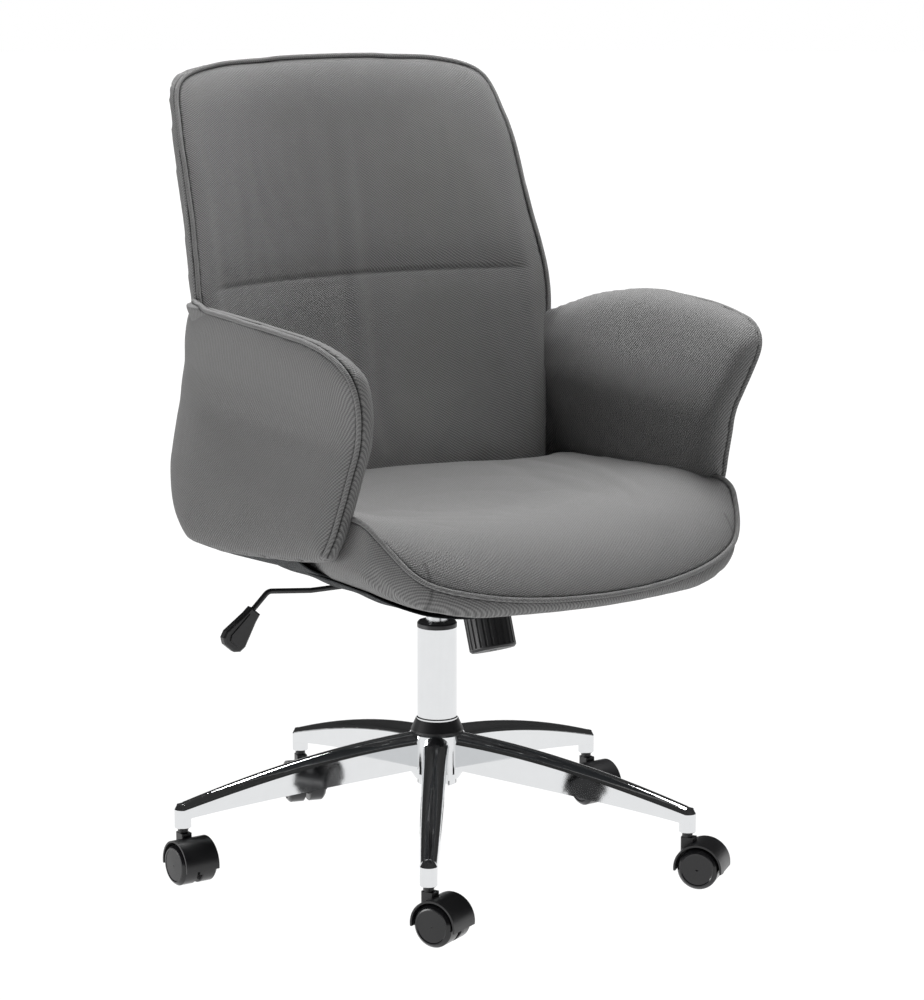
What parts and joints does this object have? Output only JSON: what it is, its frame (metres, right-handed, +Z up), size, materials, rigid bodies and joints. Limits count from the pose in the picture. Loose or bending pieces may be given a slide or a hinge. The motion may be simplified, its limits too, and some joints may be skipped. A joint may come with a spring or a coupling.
{
  "type": "swivel office chair",
  "caption": "Upholstered swivel office chair with flared arms, gas lift, tilting seat and a star base on twin-wheel casters.",
  "frame": {"origin": "on the floor, under the axis of the gas-lift column", "axes": "+Z up, the sitter faces -Y, +X is the sitter's left"},
  "size_m": [0.6749, 0.7214, 0.9976],
  "materials": {
    "upholstery": "mid-grey fine twill weave",
    "piping": "grey self-fabric welt",
    "dust_cover": "thin dark non-woven",
    "chrome": "polished",
    "cylinder_steel": "satin silver",
    "black_plastic": "fine moulded grain",
    "caster_nylon": "moulded nylon, satin hood",
    "wheel_nylon": "glossy disc",
    "bare_steel": "turned",
    "black_steel": "powder coated",
    "spring_steel": "oiled",
    "zinc": "zinc plated",
    "plywood": "bent plywood"
  },
  "bodies": {
    "base": {"base_hub": "chrome", "hub_collar": "black_plastic", "leg_1": "chrome", "leg_2": "chrome", "leg_3": "chrome", "leg_4": "chrome", "leg_5": "chrome", "caster_sockets": "chrome", "column_tube": "chrome", "column_guide_bush": "black_plastic"},
    "lift_rod": {"piston_rod": "bare_steel", "thrust_bearing": "bare_steel", "column_end_clip": "bare_steel"},
    "lift": {"gas_cylinder": "cylinder_steel", "mechanism_housing": "black_steel", "tilt_axle": "bare_steel"},
    "valve": {"valve_button": "bare_steel"},
    "release": {"release_yoke": "black_steel"},
    "lever": {"lever_rod": "black_steel", "lever_handle": "black_plastic"},
    "seat": {"seat_plate": "black_steel", "seat_bolts": "zinc", "seat_board": "plywood", "seat_cushion": "upholstery", "seat_piping": "piping", "underside_cover": "dust_cover", "back_board": "plywood", "back_cushion": "upholstery", "back_rear_panel": "upholstery", "back_piping": "piping", "arm_left_pad": "upholstery", "arm_left_panel": "upholstery", "arm_left_piping": "piping", "arm_right_pad": "upholstery", "arm_right_panel": "upholstery", "arm_right_piping": "piping"},
    "tension": {"tension_knob": "black_plastic", "tension_bolt": "zinc", "tension_spring": "spring_steel"},
    "caster_1": {"caster_1_hood": "caster_nylon", "caster_1_pins": "bare_steel"},
    "caster_1_a": {"caster_1_wheel_a": "wheel_nylon"},
    "caster_1_b": {"caster_1_wheel_b": "wheel_nylon"},
    "caster_2": {"caster_2_hood": "caster_nylon", "caster_2_pins": "bare_steel"},
    "caster_2_a": {"caster_2_wheel_a": "wheel_nylon"},
    "caster_2_b": {"caster_2_wheel_b": "wheel_nylon"},
    "caster_3": {"caster_3_hood": "caster_nylon", "caster_3_pins": "bare_steel"},
    "caster_3_a": {"caster_3_wheel_a": "wheel_nylon"},
    "caster_3_b": {"caster_3_wheel_b": "wheel_nylon"},
    "caster_4": {"caster_4_hood": "caster_nylon", "caster_4_pins": "bare_steel"},
    "caster_4_a": {"caster_4_wheel_a": "wheel_nylon"},
    "caster_4_b": {"caster_4_wheel_b": "wheel_nylon"},
    "caster_5": {"caster_5_hood": "caster_nylon", "caster_5_pins": "bare_steel"},
    "caster_5_a": {"caster_5_wheel_a": "wheel_nylon"},
    "caster_5_b": {"caster_5_wheel_b": "wheel_nylon"}
  },
  "joints": [
    {"name": "seat_swivel", "type": "hinge", "parent": "base", "child": "lift_rod", "pos_m": [0, 0, 0.1058], "axis": [0, 0, 1], "continuous": true},
    {"name": "height", "type": "slide", "parent": "lift_rod", "child": "lift", "axis": [0, 0, 1], "range_m": [0, 0.1]},
    {"name": "lever_lift", "type": "hinge", "parent": "lift", "child": "release", "pos_m": [-0.034, -0.015, 0.3708], "axis": [0, 1, 0], "range_deg": [0, 4], "stiffness_Nm_per_rad": 0.8, "springref_deg": -14.32},
    {"name": "valve_press", "type": "slide", "parent": "lift", "child": "valve", "axis": [0, 0, -1], "range_m": [0, 0.0025], "stiffness_N_per_m": 300, "springref_m": -0.002},
    {"name": "lever_lock", "type": "slide", "parent": "release", "child": "lever", "axis": [-1, 0, 0], "range_m": [0, 0.012]},
    {"name": "seat_tilt", "type": "hinge", "parent": "lift", "child": "seat", "pos_m": [0, -0.038, 0.3658], "axis": [-1, 0, 0], "range_deg": [0, 10], "stiffness_Nm_per_rad": 160, "springref_deg": -20.05, "deforming": ["tension_spring"]},
    {"name": "tension_turn", "type": "hinge", "parent": "seat", "child": "tension", "pos_m": [0, -0.12095, 0.31917], "axis": [0, 0.342, 0.9397], "range_deg": [-360, 720]},
    {"name": "caster_1_swivel", "type": "hinge", "parent": "base", "child": "caster_1", "pos_m": [0.30739, 0.11358, 0.0658], "axis": [0, 0, 1], "continuous": true},
    {"name": "caster_1_roll_a", "type": "hinge", "parent": "caster_1", "child": "caster_1_a", "pos_m": [0.30838, 0.09461, 0.0255], "axis": [0.9986, 0.0523, 0], "continuous": true},
    {"name": "caster_1_roll_b", "type": "hinge", "parent": "caster_1", "child": "caster_1_b", "pos_m": [0.30838, 0.09461, 0.0255], "axis": [0.9986, 0.0523, 0], "continuous": true},
    {"name": "caster_2_swivel", "type": "hinge", "parent": "base", "child": "caster_2", "pos_m": [-0.01304, 0.32744, 0.0658], "axis": [0, 0, 1], "continuous": true},
    {"name": "caster_2_roll_a", "type": "hinge", "parent": "caster_2", "child": "caster_2_a", "pos_m": [-0.01763, 0.309, 0.0255], "axis": [0.9703, -0.2419, 0], "continuous": true},
    {"name": "caster_2_roll_b", "type": "hinge", "parent": "caster_2", "child": "caster_2_b", "pos_m": [-0.01763, 0.309, 0.0255], "axis": [0.9703, -0.2419, 0], "continuous": true},
    {"name": "caster_3_swivel", "type": "hinge", "parent": "base", "child": "caster_3", "pos_m": [-0.31544, 0.08879, 0.0658], "axis": [0, 0, 1], "continuous": true},
    {"name": "caster_3_roll_a", "type": "hinge", "parent": "caster_3", "child": "caster_3_a", "pos_m": [-0.31478, 0.0698, 0.0255], "axis": [0.9994, 0.0349, 0], "continuous": true},
    {"name": "caster_3_roll_b", "type": "hinge", "parent": "caster_3", "child": "caster_3_b", "pos_m": [-0.31478, 0.0698, 0.0255], "axis": [0.9994, 0.0349, 0], "continuous": true},
    {"name": "caster_4_swivel", "type": "hinge", "parent": "base", "child": "caster_4", "pos_m": [-0.18192, -0.27257, 0.0658], "axis": [0, 0, 1], "continuous": true},
    {"name": "caster_4_roll_a", "type": "hinge", "parent": "caster_4", "child": "caster_4_a", "pos_m": [-0.17359, -0.28964, 0.0255], "axis": [0.8988, 0.4384, 0], "continuous": true},
    {"name": "caster_4_roll_b", "type": "hinge", "parent": "caster_4", "child": "caster_4_b", "pos_m": [-0.17359, -0.28964, 0.0255], "axis": [0.8988, 0.4384, 0], "continuous": true},
    {"name": "caster_5_swivel", "type": "hinge", "parent": "base", "child": "caster_5", "pos_m": [0.20301, -0.25724, 0.0658], "axis": [0, 0, 1], "continuous": true},
    {"name": "caster_5_roll_a", "type": "hinge", "parent": "caster_5", "child": "caster_5_a", "pos_m": [0.21497, -0.27201, 0.0255], "axis": [0.7771, 0.6293, 0], "continuous": true},
    {"name": "caster_5_roll_b", "type": "hinge", "parent": "caster_5", "child": "caster_5_b", "pos_m": [0.21497, -0.27201, 0.0255], "axis": [0.7771, 0.6293, 0], "continuous": true}
  ],
  "couplings": [
    {"joint": "valve_press", "follows": "lever_lift", "m_per_rad": 0.03397}
  ]
}
